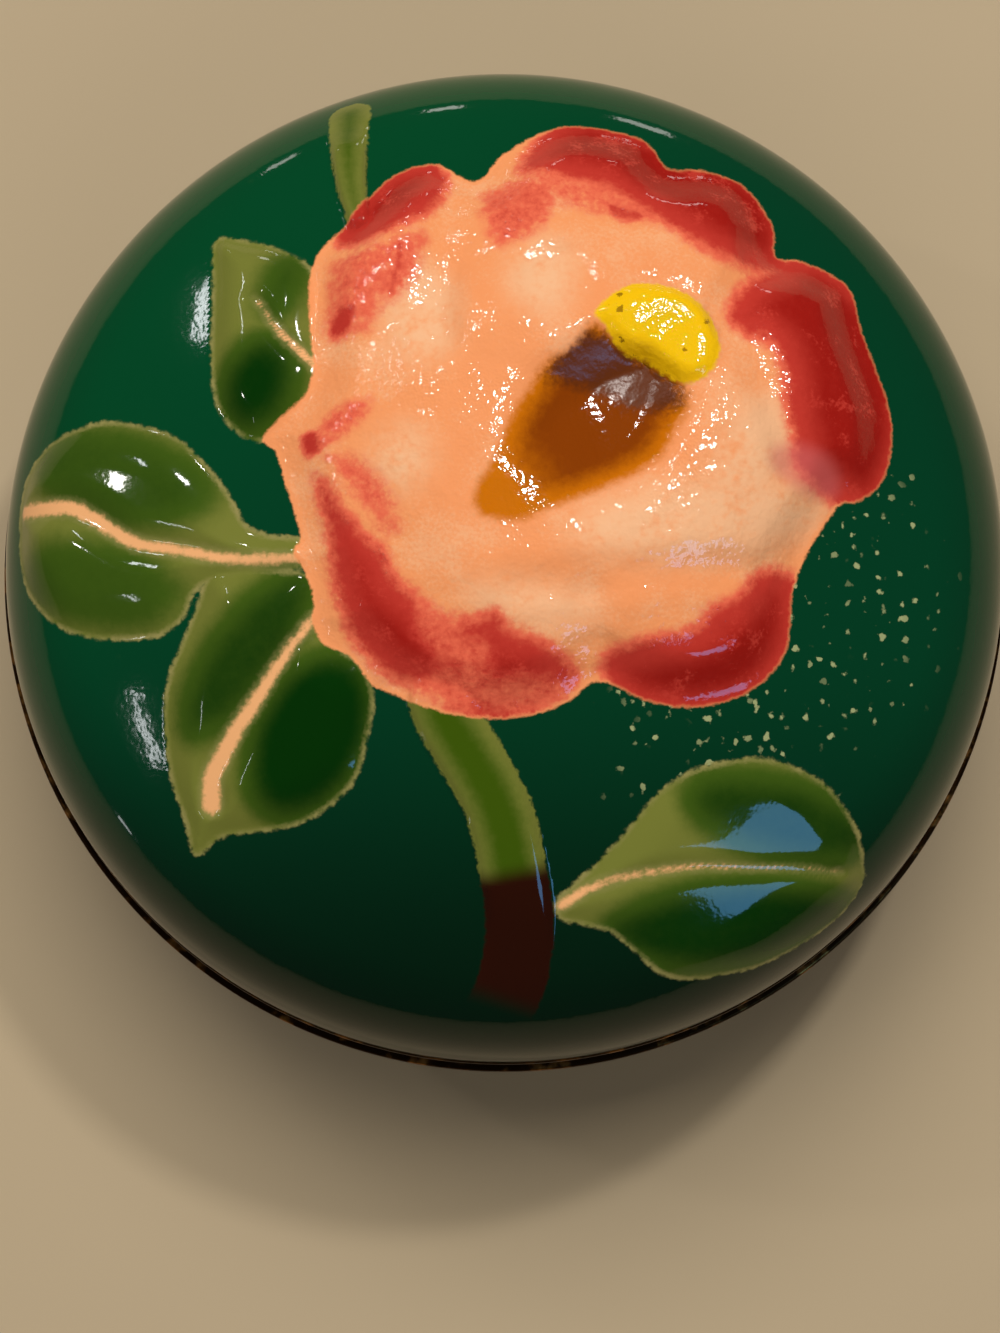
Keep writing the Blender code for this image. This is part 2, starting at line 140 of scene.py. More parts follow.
def distance_to(line, x, y):
    """Distance to a line of straight pieces, the least over its pieces, and the share passed."""
    best = np.full(x.shape, np.inf)
    passed = np.zeros(x.shape)
    pieces = len(line) - 1
    for index in range(pieces):
        start = line[index]
        along = line[index + 1] - start
        share = np.clip(((x - start[0]) * along[0] + (y - start[1]) * along[1]) / (along @ along), 0, 1)
        gap = np.hypot(x - start[0] - share * along[0], y - start[1] - share * along[1])
        nearer = gap < best
        best = np.where(nearer, gap, best)
        passed = np.where(nearer, (index + share) / pieces, passed)
    return best, passed


def stroke(points, first_width, last_width, x, y):
    """Distance to a drawn stroke's middle, its half width there, and the share passed along it."""
    gap, passed = distance_to(curve_through(points, False), x, y)
    return gap, first_width + (last_width - first_width) * passed, passed


def depth_in_curve(points, x, y):
    """Distance to a closed curve, below zero outside it by the count of edges crossed."""
    line = curve_through(points, True)
    gap, _ = distance_to(line, x, y)
    inside = np.zeros(x.shape, dtype=bool)
    for start, end in zip(line, line[1:]):
        rise = end[1] - start[1]
        at_x = start[0] + (end[0] - start[0]) * (y - start[1]) / (rise if rise else 1)
        inside ^= ((start[1] > y) != (end[1] > y)) & (x < at_x)
    return np.where(inside, gap, -gap)


def depth_in_ellipse(ellipse, x, y):
    """Distance inside an ellipse: one less the radius ratio, times the radius on that side."""
    middle_x, middle_y, length, width, turn = ellipse
    cos, sin = math.cos(math.radians(turn)), math.sin(math.radians(turn))
    along = cos * (x - middle_x) + sin * (y - middle_y)
    across = cos * (y - middle_y) - sin * (x - middle_x)
    ratio = np.hypot(along / length, across / width)
    local = ratio / (np.hypot(along / length ** 2, across / width ** 2) + 1e-9)
    share = np.minimum(ratio, 1)
    return (1 - ratio) * (width * (1 - share) + local * share)


def swell(depth, edge):
    """A rounded step: a quarter sine from 0 at the edge to 1 at its full width."""
    return np.sin(np.clip(depth / edge, 0, 1) * math.pi / 2)


def ramp(depth, edge):
    """A soft step from 0 to 1 over a width, half way up at the edge: 3 t squared less 2 t cubed."""
    share = np.clip(depth / edge + 0.5, 0, 1)
    return share * share * (3 - 2 * share)


def blend_up(first, second, soft):
    """The higher of two heights, with the crease between them rounded by a parabola."""
    near = np.clip(soft - np.abs(first - second), 0, np.minimum(first, second))
    return np.maximum(first, second) + near * near / (4 * soft)


# The spray's drawing. The flower is one closed curve, over which the petals rise as ellipses:
# middle, half length, half width and turn in degrees.
FLOWER = [
    (-14.0, 11.9), (-14.3, 14.4), (-14.5, 17.4), (-14.4, 20.1), (-13.7, 21.7), (-11.8, 23.7),
    (-8.9, 27.4), (-5.5, 28.6), (-2.4, 27.0), (-0.3, 29.4), (3.1, 31.7), (6.2, 32.1), (10.4, 31.1),
    (12.2, 28.7), (14.9, 28.7), (18.0, 27.6), (20.1, 24.3), (20.2, 21.7), (22.4, 21.5),
    (25.8, 19.8), (26.8, 16.2), (28.6, 10.7), (28.9, 7.6), (28.0, 4.5), (25.9, 2.8), (24.6, 2.5),
    (22.4, -0.7), (21.0, -4.1), (20.5, -8.5), (17.9, -11.4), (14.2, -12.6), (10.5, -12.3),
    (6.8, -10.9), (4.7, -12.3), (1.9, -13.4), (-1.7, -13.6), (-5.3, -12.9), (-8.5, -11.7),
    (-9.5, -11.2), (-11.0, -9.2), (-12.9, -8.3), (-13.8, -6.8), (-13.7, -5.4), (-14.1, -3.6),
    (-15.2, -1.6), (-14.7, -0.5), (-15.8, 3.1), (-16.6, 5.7), (-17.6, 7.0), (-14.8, 9.8),
]
PETALS = {
    "upper_left": (-8.2, 21.3, 8.8, 5.0, 57),
    "top": (4.5, 24.9, 8.6, 6.6, 34),
    "upper_right": (12.2, 21.5, 8.5, 6.8, 31),
    "inner": (4.0, 16.0, 9.5, 6.5, 15),
    "right": (20.3, 14.0, 8.0, 5.9, 58),
    "right_lower": (21.9, 11.3, 9.4, 6.2, -61),
    "outer_right": (13.9, 3.5, 19.3, 9.7, 57),
    "lower_right": (10.9, -3.8, 10.7, 8.3, -29),
    "bottom": (-1.7, -3.8, 11.7, 9.9, -8),
    "left": (-2.5, 3.6, 14.5, 12.1, -30),
}
FOLDS = {
    "upper_left": [(-3.1, 26.5), (-4.6, 22.9), (-4.8, 18.5), (-4.7, 13.5)],
    "right": [(19.8, 21.1), (17.6, 19.0), (16.1, 16.6), (17.4, 13.6), (18.6, 9.8), (20.0, 5.0)],
    "across": [(1.0, -4.0), (4.6, -3.8), (8.0, -3.4), (12.0, -3.0), (17.0, -2.8), (20.7, -3.2)],
    "lower": [(6.7, -10.5), (6.3, -7.9), (6.0, -5.1)],
}
HEART = (7.5, 8.0, 16.0, 13.2, 40)
BOWL = (4.6, 9.8, 12.0, 6.8, 50)
THROAT = (5.9, 6.9, 8.6, 4.4, 47)
CUP = (3.7, 18.0, 2.9, 2.6, 40)
STAMENS = [(6.2, 15.4), (7.4, 16.9), (9.4, 17.9), (12.0, 17.6), (13.9, 16.5), (14.9, 14.9),
           (15.2, 12.9), (14.5, 11.2), (12.9, 10.5), (11.4, 11.3), (10.1, 12.3), (8.7, 12.7),
           (7.6, 13.6), (7.0, 14.5)]
# A leaf is a closed curve parted by its midrib, with the rib's half width at either end, the
# width over which its lobes rise and how high. The lobes' glaze darkens over ellipses, each
# with its strength.
LEAVES = [
    ([(-22.0, 22.9), (-19.3, 22.6), (-17.0, 21.8), (-14.6, 20.2), (-13.7, 17.6), (-14.0, 14.4),
      (-13.6, 11.9), (-14.4, 9.4), (-16.6, 7.2), (-18.5, 6.7), (-20.8, 8.7), (-21.7, 11.8),
      (-22.0, 19.1)],
     [(-18.4, 17.5), (-16.9, 15.3), (-15.1, 13.4), (-13.0, 11.6)], 0.12, 0.45, 2.4, 0.85),
    ([(-38.4, 2.8), (-37.6, 5.5), (-35.3, 7.5), (-32.5, 8.5), (-29.7, 8.9), (-26.9, 8.3),
      (-24.2, 7.2), (-22.0, 5.2), (-20.1, 2.8), (-18.8, 0.5), (-17.0, -0.3), (-14.7, -0.6),
      (-13.9, -1.8), (-14.7, -2.9), (-19.8, -3.4), (-21.9, -3.8), (-22.8, -4.7), (-23.4, -6.1),
      (-25.1, -7.4), (-27.8, -7.7), (-31.1, -7.4), (-34.1, -6.2), (-36.7, -3.9), (-38.0, -1.2),
      (-38.2, 1.1)],
     [(-37.2, 2.6), (-34.5, 2.5), (-32.3, 2.3), (-30.8, 1.6), (-29.5, 0.8), (-28.1, -0.1),
      (-26.7, -0.7), (-23.5, -1.3), (-19.8, -2.0), (-16.9, -2.1), (-13.4, -2.0)], 0.65, 0.4, 3.6,
     0.9),
    ([(-22.4, -5.2), (-21.6, -3.2), (-19.8, -2.7), (-16.2, -2.9), (-13.9, -3.4), (-13.4, -6.0),
      (-13.3, -7.4), (-11.8, -8.6), (-10.2, -9.7), (-9.3, -11.9), (-9.7, -14.8), (-10.5, -17.8),
      (-12.3, -19.8), (-14.9, -21.3), (-18.0, -21.9), (-20.7, -22.3), (-22.8, -23.7),
      (-23.5, -21.3), (-24.5, -18.2), (-24.9, -15.2), (-25.0, -12.7), (-24.5, -10.1),
      (-23.4, -7.7)],
     [(-12.8, -5.4), (-13.8, -6.6), (-15.7, -9.1), (-16.8, -10.7), (-17.9, -12.4), (-19.2, -14.2),
      (-20.3, -16.1), (-21.2, -17.9), (-21.3, -19.8)], 0.3, 0.8, 3.4, 0.9),
    ([(4.0, -26.8), (5.5, -25.2), (7.5, -23.3), (9.4, -21.1), (11.2, -18.9), (13.4, -17.3),
      (15.7, -16.6), (18.4, -16.2), (21.1, -16.7), (23.6, -17.9), (25.2, -19.5), (26.6, -21.5),
      (27.6, -24.1), (28.1, -25.9), (27.3, -28.2), (25.6, -29.8), (23.0, -31.3), (19.9, -32.5),
      (17.3, -32.8), (14.4, -33.0), (11.9, -32.3), (9.9, -30.6), (8.0, -29.1), (5.7, -28.5),
      (4.2, -28.1)],
     [(4.3, -27.1), (6.4, -25.8), (8.8, -24.9), (13.2, -24.2), (15.5, -24.1), (18.6, -24.2),
      (22.2, -24.2), (25.5, -24.6)], 0.4, 0.02, 2.8, 0.5),
]
LOBES = [
    (-18.0, 10.8, 4.8, 3.8, 70, 1.1), (-16.4, 18.6, 4.0, 2.6, 75, 0.75),
    (-28.4, 4.4, 8.6, 4.6, -15, 0.66), (-30.2, -3.4, 8.0, 4.4, -10, 0.56),
    (-18.4, -8.8, 8.6, 3.8, 52, 0.9), (-13.8, -14.9, 7.4, 5.0, 62, 1.2),
    (20.6, -20.6, 8.6, 4.0, -14, 0.9), (17.6, -28.6, 11.0, 4.4, 3, 1.05),
]
STEMS = {
    "short": ([(-11.0, 24.0), (-11.7, 27.0), (-12.0, 30.0), (-12.3, 34.2)], 0.9, 1.7),
    "long": ([(-4.6, -12.2), (-3.8, -14.0), (-1.8, -17.2), (-0.2, -20.4), (0.8, -24.6), (1.3, -28.4),
              (0.9, -32.4), (-0.2, -35.6)], 2.3, 2.6),
}
# How high each form stands or how deep it lies, and the width over which it gets there
PETAL_RISE, PETAL_EDGE, PETAL_CROWN, PETAL_CREASE = 1.0, 4.2, 0.6, 0.12
FOLD_DEPTH, FOLD_WIDTH = 0.4, 2.4
HEART_RISE, HEART_EDGE = 0.8, 8.0
BOWL_DEPTH, BOWL_EDGE = 0.35, 5.5
THROAT_DEPTH, THROAT_EDGE, THROAT_SHALLOW = 1.6, 5.5, 0.1
THROAT_DEEPENS, THROAT_FALL = 0.35, 1.1
CUP_DEPTH, CUP_EDGE = 0.4, 2.4
STAMENS_RISE, STAMENS_EDGE, STAMENS_TILT = 0.35, 1.1, (0.065, 0.070)
STAMENS_TOP, STAMENS_ROUND = (12.6, 13.0), 0.007
LEAF_MARGIN, LEAF_CREASE = 0.25, 0.05
RIB_SLOPE, RIB_FLOOR = 1.4, 0.9
STEM_RISE, STEM_SQUARENESS = 0.6, 6
STEM_SINKS, STEM_SINKING = 0.75, 0.3
FADE_START, FADE_END = 34.0, 41.0
DRAWN_REACH = 43.9


def throat_depth(x, y):
    """A trough along an ellipse, shallow at its lower end and deep from its middle onwards."""
    middle_x, middle_y, length, _, turn = THROAT
    cos, sin = math.cos(math.radians(turn)), math.sin(math.radians(turn))
    along = (cos * (x - middle_x) + sin * (y - middle_y)) / length
    share = THROAT_SHALLOW + (1 - THROAT_SHALLOW) * ramp(along + THROAT_DEEPENS, THROAT_FALL)
    return THROAT_DEPTH * share * ramp(depth_in_ellipse(THROAT, x, y), THROAT_EDGE)


def flower_height(x, y):
    """Rounded petals with folds between them, the heart over all, its hollows and the low pad."""
    crown = np.zeros(x.shape)
    for ellipse in PETALS.values():
        half_width = ellipse[3]
        crown = blend_up(crown, swell(depth_in_ellipse(ellipse, x, y), half_width), PETAL_CREASE)
    edge = ramp(depth_in_curve(FLOWER, x, y) - PETAL_EDGE / 2, PETAL_EDGE)
    height = edge * (PETAL_RISE + PETAL_CROWN * crown)
    for points in FOLDS.values():
        gap, _ = distance_to(curve_through(points, False), x, y)
        groove = ramp(FOLD_WIDTH / 2 - gap, FOLD_WIDTH)
        height = height - FOLD_DEPTH * groove * ramp(height - 2 * FOLD_DEPTH, 2 * FOLD_DEPTH)
    height = height + HEART_RISE * ramp(depth_in_ellipse(HEART, x, y), HEART_EDGE)
    hollow = BOWL_DEPTH * ramp(depth_in_ellipse(BOWL, x, y), BOWL_EDGE) + throat_depth(x, y)
    hollow = hollow + CUP_DEPTH * ramp(depth_in_ellipse(CUP, x, y), CUP_EDGE)
    pad = swell(depth_in_curve(STAMENS, x, y), STAMENS_EDGE)
    away_x, away_y = x - STAMENS_TOP[0], y - STAMENS_TOP[1]
    rise = STAMENS_RISE + STAMENS_TILT[0] * away_x + STAMENS_TILT[1] * away_y
    rise = rise - STAMENS_ROUND * (away_x ** 2 + away_y ** 2)
    return height - hollow * (1 - pad) + rise * pad


# Where the red glaze lies on the petals: closed curves, the width of its soft edge, its strength
RED = [
    ([(-12.8, 21.4), (-10.8, 20.9), (-9.2, 21.4), (-7.0, 22.2), (-5.3, 23.2), (-4.3, 25.0),
      (-3.9, 27.3), (-5.0, 29.4), (-7.8, 29.6), (-10.8, 28.0), (-13.8, 24.2)], 2.2, 1.0),
    ([(-13.4, 20.6), (-10.6, 21.4), (-5.8, 22.6), (-5.4, 19.6), (-6.8, 17.0), (-8.8, 15.2),
      (-9.8, 13.6), (-12.7, 13.4), (-13.9, 15.2), (-13.6, 17.6)], 2.4, 0.5),
    ([(-8.8, 17.0), (-8.4, 19.6), (-8.1, 21.4), (-7.1, 21.2), (-7.3, 18.8), (-7.9, 16.8)], 0.9, 0.75),
    ([(-13.2, 14.2), (-12.9, 16.0), (-11.6, 17.0), (-10.4, 16.4), (-10.7, 14.8), (-12.0, 13.8)],
     1.2, 0.9),
    ([(0.3, 27.0), (1.2, 30.5), (3.5, 33.5), (6.7, 34.5), (12.5, 33.0), (17.2, 31.7), (22.4, 27.0),
      (21.9, 20.2), (18.6, 19.3), (16.8, 19.4), (14.4, 20.0), (12.2, 21.4), (10.6, 22.6),
      (9.0, 23.8), (7.0, 24.9), (4.0, 25.8), (2.0, 26.5)], 2.6, 1.0),
    ([(7.0, 24.6), (8.8, 24.4), (10.4, 23.4), (9.4, 22.6), (7.6, 23.0)], 0.9, 0.8),
    ([(-2.5, 25.9), (0.8, 27.2), (4.2, 26.4), (3.1, 22.1), (-0.6, 20.3), (-2.1, 22.5)], 2.4, 0.55),
    ([(1.0, 29.0), (4.5, 28.4), (9.0, 27.0), (12.5, 24.6), (13.5, 21.8), (10.0, 22.0), (7.0, 22.6),
      (3.5, 23.6), (0.4, 24.2)], 2.4, 0.42),
    ([(15.4, 16.4), (16.6, 18.6), (19.0, 20.6), (21.0, 22.4), (24.9, 22.7), (30.8, 16.7),
      (31.3, 7.8), (27.9, 1.0), (24.9, 1.6), (22.6, 2.8), (20.4, 4.4), (19.9, 6.8), (19.3, 9.3),
      (19.1, 11.8), (18.4, 13.2), (16.8, 13.9), (15.6, 15.0)], 2.4, 1.0),
    ([(6.4, -10.2), (7.0, -8.4), (8.9, -7.6), (11.0, -7.0), (13.2, -6.4), (14.1, -5.2), (16.3, -4.0),
      (17.5, -2.7), (19.3, -2.0), (22.0, -3.0), (22.4, -7.7), (19.4, -12.5), (14.2, -14.4),
      (8.4, -13.3)], 2.4, 1.0),
    ([(-14.0, 4.2), (-12.2, 3.6), (-11.0, 1.8), (-9.2, -0.2), (-7.9, -1.5), (-7.0, -3.4),
      (-5.6, -4.6), (-4.2, -5.6), (-2.4, -5.9), (-0.4, -5.5), (1.0, -6.8), (2.9, -7.4),
      (5.2, -9.2), (5.8, -10.8), (4.0, -13.6), (1.2, -14.8), (-2.4, -14.6), (-6.0, -12.4),
      (-8.9, -10.9), (-11.0, -8.8), (-12.3, -6.1), (-12.9, -3.6), (-13.2, -0.7), (-13.9, 2.0)],
     2.8, 1.0),
    ([(-14.2, 6.4), (-12.6, 8.9), (-9.3, 9.7), (-9.5, 7.7), (-11.5, 5.9), (-13.4, 5.1)], 1.8, 0.5),
    ([(-13.4, 5.2), (-11.2, 5.8), (-8.8, 4.4), (-7.2, 1.8), (-6.6, -0.6), (-9.0, -1.0), (-11.4, 2.2)],
     2.6, 0.5),
    ([(-14.9, 6.8), (-13.4, 7.2), (-12.9, 5.5), (-14.4, 5.0)], 0.9, 0.9),
]
# Thin bare streaks in the red, and pale patches on the petals, partly paler glaze and partly painted
# sheen
STREAKS = [[(-4.8, -6.9), (-3.6, -8.3), (-2.2, -9.0)], [(-4.6, -11.6), (-0.6, -11.9), (3.0, -11.9)]]
STREAK_WIDTH, STREAK_STRENGTH = 1.3, 0.45
DEEP_START, DEEP_EDGE = 2.6, 2.8
CREAM_AND_SHEEN = [(14.0, 0.8, 9.5, 2.8, 8), (17.4, 5.5, 4.6, 2.8, 60), (-6.2, 15.6, 2.6, 4.0, 10),
         (2.6, 18.4, 2.4, 3.0, 0), (-7.4, 4.6, 2.0, 2.4, -40), (2.0, -5.4, 4.0, 1.2, -8)]
CREAM_AND_SHEEN_EDGE = 4.0
MAUVE, MAUVE_EDGE = (21.6, 4.6, 3.0, 1.6, -20), 1.6
THROAT_STAIN = [(-1.6, 0.8), (-1.9, 2.4), (-0.8, 4.3), (0.1, 6.6), (0.9, 8.4), (2.0, 10.2),
                (3.0, 11.8), (4.8, 13.0), (6.2, 14.6), (7.8, 13.8), (9.4, 13.0), (11.2, 12.2),
                (12.5, 10.9), (12.8, 8.9), (11.9, 7.3), (10.8, 5.2), (8.9, 3.9), (6.4, 2.7),
                (3.3, 1.4), (0.8, 0.4)]
# A dark brown patch at the throat's deep end: partly scorched glaze, partly painted shade of the hollow
BURNT_AND_SHADED_END = [(3.0, 12.0), (5.6, 14.6), (9.2, 13.4), (12.3, 11.4), (12.8, 8.9), (9.6, 8.6), (7.0, 9.6),
         (4.6, 10.2), (2.7, 10.6)]
FLECK_FIELD, FLECK_EDGE = [(24.5, -2.0, 8.5, 5.5, 60), (20.0, -9.0, 14.0, 9.0, 35)], 8.0
LOBE_START, LOBE_EDGE = 1.0, 4.5
STEM_BROWN = (0.54, 0.60)
STEM_ENDS = (0.90, 1.0)
RIB_OVERRUN = 2.5
FAR_OUTSIDE, LEAST_STRENGTH = -50.0, -1.5


def colour_fields(x, y):
    """Fields that the lid's glaze reads: depths in millimetres, and strengths from 0 to 1."""
    fields = {"petal": depth_in_curve(FLOWER, x, y)}
    red = np.zeros(x.shape)
    for points, soft, strength in RED:
        red = np.maximum(red, strength * ramp(depth_in_curve(points, x, y) - soft / 4, soft))
    full = [points for points, _, strength in RED if strength == 1.0]
    deep = np.max([depth_in_curve(points, x, y) for points in full], axis=0)
    for points in STREAKS:
        gap, _ = distance_to(curve_through(points, False), x, y)
        red = red * (1 - STREAK_STRENGTH * ramp(STREAK_WIDTH - gap, STREAK_WIDTH * 2))
    fields["red"] = red
    fields["deep"] = ramp(deep - DEEP_START, DEEP_EDGE)
    fields["cream_and_sheen"] = np.max([ramp(depth_in_ellipse(ellipse, x, y), CREAM_AND_SHEEN_EDGE)
                              for ellipse in CREAM_AND_SHEEN], axis=0)
    fields["mauve"] = ramp(depth_in_ellipse(MAUVE, x, y), MAUVE_EDGE)
    fields["throat"] = depth_in_curve(THROAT_STAIN, x, y)
    fields["burnt_and_shade"] = depth_in_curve(BURNT_AND_SHADED_END, x, y)
    fields["stamens"] = depth_in_curve(STAMENS, x, y)
    leaf, rib, stem = (np.full(x.shape, FAR_OUTSIDE) for _ in range(3))
    for outline, midrib, first_width, last_width, _, _ in LEAVES:
        inside = depth_in_curve(outline, x, y)
        gap, width, _ = stroke(midrib, first_width, last_width, x, y)
        leaf = np.maximum(leaf, inside)
        rib = np.maximum(rib, np.where(inside > -RIB_OVERRUN, width - gap, FAR_OUTSIDE))
    fields["leaf"], fields["rib"] = leaf, rib
    fields["shade"] = np.max([strength * ramp(depth_in_ellipse(ellipse, x, y) - LOBE_START, LOBE_EDGE)
                              for *ellipse, strength in LOBES], axis=0)
    for points, first_width, last_width in STEMS.values():
        gap, width, _ = stroke(points, first_width, last_width, x, y)
        stem = np.maximum(stem, width - gap)
    fields["stem"] = stem
    # The long stem turns brown and ends at shares of its own length
    _, _, passed = stroke(*STEMS["long"], x, y)
    brown_low, brown_high = STEM_BROWN
    fields["brown"] = ramp(passed - (brown_low + brown_high) / 2, brown_high - brown_low)
    end_low, end_high = STEM_ENDS
    fields["stem_end"] = ramp(passed - (end_low + end_high) / 2, end_high - end_low)
    fields["flecks"] = np.max([ramp(depth_in_ellipse(ellipse, x, y), FLECK_EDGE)
                               for ellipse in FLECK_FIELD], axis=0)
    return fields


def embossing(x, y):
    """Height over the dome in drawn millimetres: flower, puffed leaf lobes and round stems."""
    height = flower_height(x, y)
    for outline, midrib, first_width, last_width, edge, rise in LEAVES:
        gap, width, _ = stroke(midrib, first_width, last_width, x, y)
        lobe = np.minimum(depth_in_curve(outline, x, y) - LEAF_MARGIN,
                          RIB_SLOPE * np.maximum(gap - width, 0) + RIB_FLOOR)
        height = blend_up(height, rise * swell(lobe, edge), LEAF_CREASE)
    for points, first_width, last_width in STEMS.values():
        gap, width, passed = stroke(points, first_width, last_width, x, y)
        sunk = ramp(passed - STEM_SINKS, STEM_SINKING)
        section = 1 - np.clip(gap / width, 0, 1) ** STEM_SQUARENESS
        height = np.maximum(height, STEM_RISE * (1 - sunk) * section)
    fade_middle = (FADE_START + FADE_END) / 2
    return height * ramp(fade_middle - np.hypot(x, y), FADE_END - FADE_START)


def square_over_disc(cells):
    """Square grid laid over a disc: a square's side becomes a quarter of a ring."""
    line = np.linspace(-1, 1, cells + 1)
    across, up = np.meshgrid(line, line)
    wide = np.abs(across) > np.abs(up)
    reach = np.where(wide, across, up)
    share = np.where(wide, up, across) / np.where(reach == 0, 1, reach)
    turn = np.where(wide, share, 2 - share) * math.pi / 4
    return np.abs(reach), turn + np.where(reach < 0, math.pi, 0)


def hoops(profile, turns):
    """Points of a profile of (radius, height) pairs, turned to each of the given angles."""
    radius, height = np.array(profile, dtype=float).T[:, :, None]
    turn = turns[None, :]
    return np.stack([radius * np.cos(turn), radius * np.sin(turn),
                     height + 0 * turn], axis=-1).reshape(-1, 3)


def hoop_faces(numbers, closed_profile):
    """Quads between neighbouring rows of a table of vertex numbers, closed around each row."""
    rows = np.concatenate([numbers, numbers[:1]]) if closed_profile else numbers
    beside = np.roll(rows, -1, axis=1)
    return np.stack([rows[:-1], rows[1:], beside[1:], beside[:-1]], axis=-1).reshape(-1, 4)


def fan(row, pole):
    """Triangles that close a row of vertex numbers to one pole."""
    return np.stack([row, np.full(len(row), pole), np.roll(row, -1)], axis=-1).tolist()


def carry(mesh, name, values):
    """Store a field on the points of a mesh, for its glaze to read."""
    mesh.attributes.new(name, "FLOAT", "POINT").data.foreach_set("value", values.astype(np.float32))


def piece_from(name, points, faces, finish, node, height):
    """Put a mesh in the scene at a height, smooth shaded, riding on the box in its node's place."""
    mesh = bpy.data.meshes.new(name)
    mesh.from_pydata((points + np.array([0, 0, height])).tolist(), [], faces)
    mesh.shade_smooth()
    mesh.set_sharp_from_angle(angle=math.radians(SHARP_ANGLE))
    mesh.materials.append(finish.material)
    piece = bpy.data.objects.new(name, mesh)
    bpy.context.scene.collection.objects.link(piece)
    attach(piece, "root")
    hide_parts(node)
    return mesh


class Tint:
    """A shader socket whose value changes over the surface, for use in Python's sums."""

    def __init__(self, finish, socket):
        self.finish, self.socket = finish, socket

    def __add__(self, other):
        return self.finish.maths("ADD", self, other)

    def __sub__(self, other):
        return self.finish.maths("SUBTRACT", self, other)

    def __rsub__(self, other):
        return self.finish.maths("SUBTRACT", other, self)

    def __mul__(self, other):
        return self.finish.maths("MULTIPLY", self, other)

    __radd__, __rmul__ = __add__, __mul__

    def over(self, low, high):
        """Soft step: 0 at the low value and below, 1 at the high value and above."""
        settings = {"interpolation_type": "SMOOTHSTEP"}
        sockets = {"Value": self, "From Min": low, "From Max": high}
        return Tint(self.finish, self.finish.node("ShaderNodeMapRange", settings, sockets).outputs[0])


class Finish:
    """A Principled material whose nodes are written as Python expressions."""

    def __init__(self, name, **sockets):
        self.material = bpy.data.materials.new(name)
        self.material.use_nodes = True
        self.tree = self.material.node_tree
        self.shader = self.tree.nodes["Principled BSDF"]
        coordinates = self.node("ShaderNodeTexCoord", {}, {})
        self.place = Tint(self, coordinates.outputs["Object"])
        self.paint(**sockets)

    def node(self, kind, settings, sockets):
        """Add a node, set its settings, and then feed its sockets by name or number."""
        made = self.tree.nodes.new(kind)
        for name, value in settings.items():
            setattr(made, name, value)
        for name, value in sockets.items():
            self.feed(made.inputs[name], value)
        return made

    def feed(self, socket, value):
        """Link a changing value to a socket, or set a constant one on it."""
        if isinstance(value, Tint):
            self.tree.links.new(value.socket, socket)
        else:
            socket.default_value = value

    def paint(self, **sockets):
        """Feed the shader's own sockets, with underscores for the spaces in their names."""
        for name, value in sockets.items():
            self.feed(self.shader.inputs[name.replace("_", " ")], value)

    def maths(self, operation, first, second):
        """One sum of two values."""
        made = self.node("ShaderNodeMath", {"operation": operation}, {0: first, 1: second})
        return Tint(self, made.outputs[0])

    def mix(self, share, first, second):
        """Colour that runs from the first to the second as the share runs from 0 to 1."""
        settings = {"data_type": "RGBA", "clamp_factor": True}
        made = self.node("ShaderNodeMix", settings, {0: share, 6: first, 7: second})
        return Tint(self, made.outputs[2])

    def axes(self):
        """The three coordinates of a place on the object."""
        made = self.node("ShaderNodeSeparateXYZ", {}, {0: self.place})
        return [Tint(self, socket) for socket in made.outputs]

    def field(self, name):
        """A field that the mesh carries."""
        made = self.node("ShaderNodeAttribute", {"attribute_name": name}, {})
        return Tint(self, made.outputs["Fac"])

    def noise(self, size, detail=2.0):
        """Cloudy noise from 0 to 1, with lumps of about the given size in metres."""
        sockets = {"Vector": self.place, "Scale": 1 / size, "Detail": detail}
        return Tint(self, self.node("ShaderNodeTexNoise", {}, sockets).outputs[0])

    def grains(self, size):
        """Distance to scattered points, as a share of their spacing, and a number for each."""
        made = self.node("ShaderNodeTexVoronoi", {}, {"Vector": self.place, "Scale": 1 / size})
        parts = self.node("ShaderNodeSeparateColor", {}, {0: Tint(self, made.outputs["Color"])})
        return Tint(self, made.outputs["Distance"]), Tint(self, parts.outputs[0])

    def relief(self, height, distance):
        """Fine relief of the surface: a height from 0 to 1 over the given distance."""
        made = self.node("ShaderNodeBump", {}, {"Height": height, "Distance": distance})
        self.paint(Normal=Tint(self, made.outputs[0]))


def glaze(red, green, blue):
    """Colour named by its 0 to 255 screen values, as the linear light that a shader takes."""
    screen = np.array([red, green, blue]) / 255
    light = np.where(screen <= 0.04045, screen / 12.92, ((screen + 0.055) / 1.055) ** 2.4)
    return (*light.tolist(), 1.0)


# The deep green is painted shade towards the lid's front; the bright green is painted light towards its
# back left, and also mottles the base at random
GROUND_PALE_AND_PAINTED_LIGHT = glaze(0, 67, 36)
GROUND_GREEN = glaze(0, 58, 34)
GROUND_PAINTED_SHADE = glaze(0, 28, 13)
PEACH = glaze(235, 151, 98)
PEACH_PALE = glaze(235, 181, 139)
PINK = glaze(224, 102, 76)
ROSE = glaze(186, 54, 44)
DARK_ROSE = glaze(152, 24, 17)
MAUVE_GLAZE = glaze(200, 100, 100)
LEAF_PALE = glaze(112, 118, 50)
LEAF_GREEN = glaze(58, 84, 18)
LEAF_DARK = glaze(2, 46, 2)
OUTLINE = glaze(142, 136, 82)
RIB = glaze(234, 174, 120)
STEM_GREEN = glaze(58, 84, 6)
STEM_DARK = glaze(40, 11, 2)
AMBER = glaze(196, 108, 4)
TOFFEE = glaze(130, 58, 2)
BURNT_AND_SHADE_BROWN = glaze(92, 42, 8)
YELLOW = glaze(236, 188, 12)
YELLOW_DARK = glaze(130, 92, 6)
FLECK_CREAM = glaze(152, 162, 116)
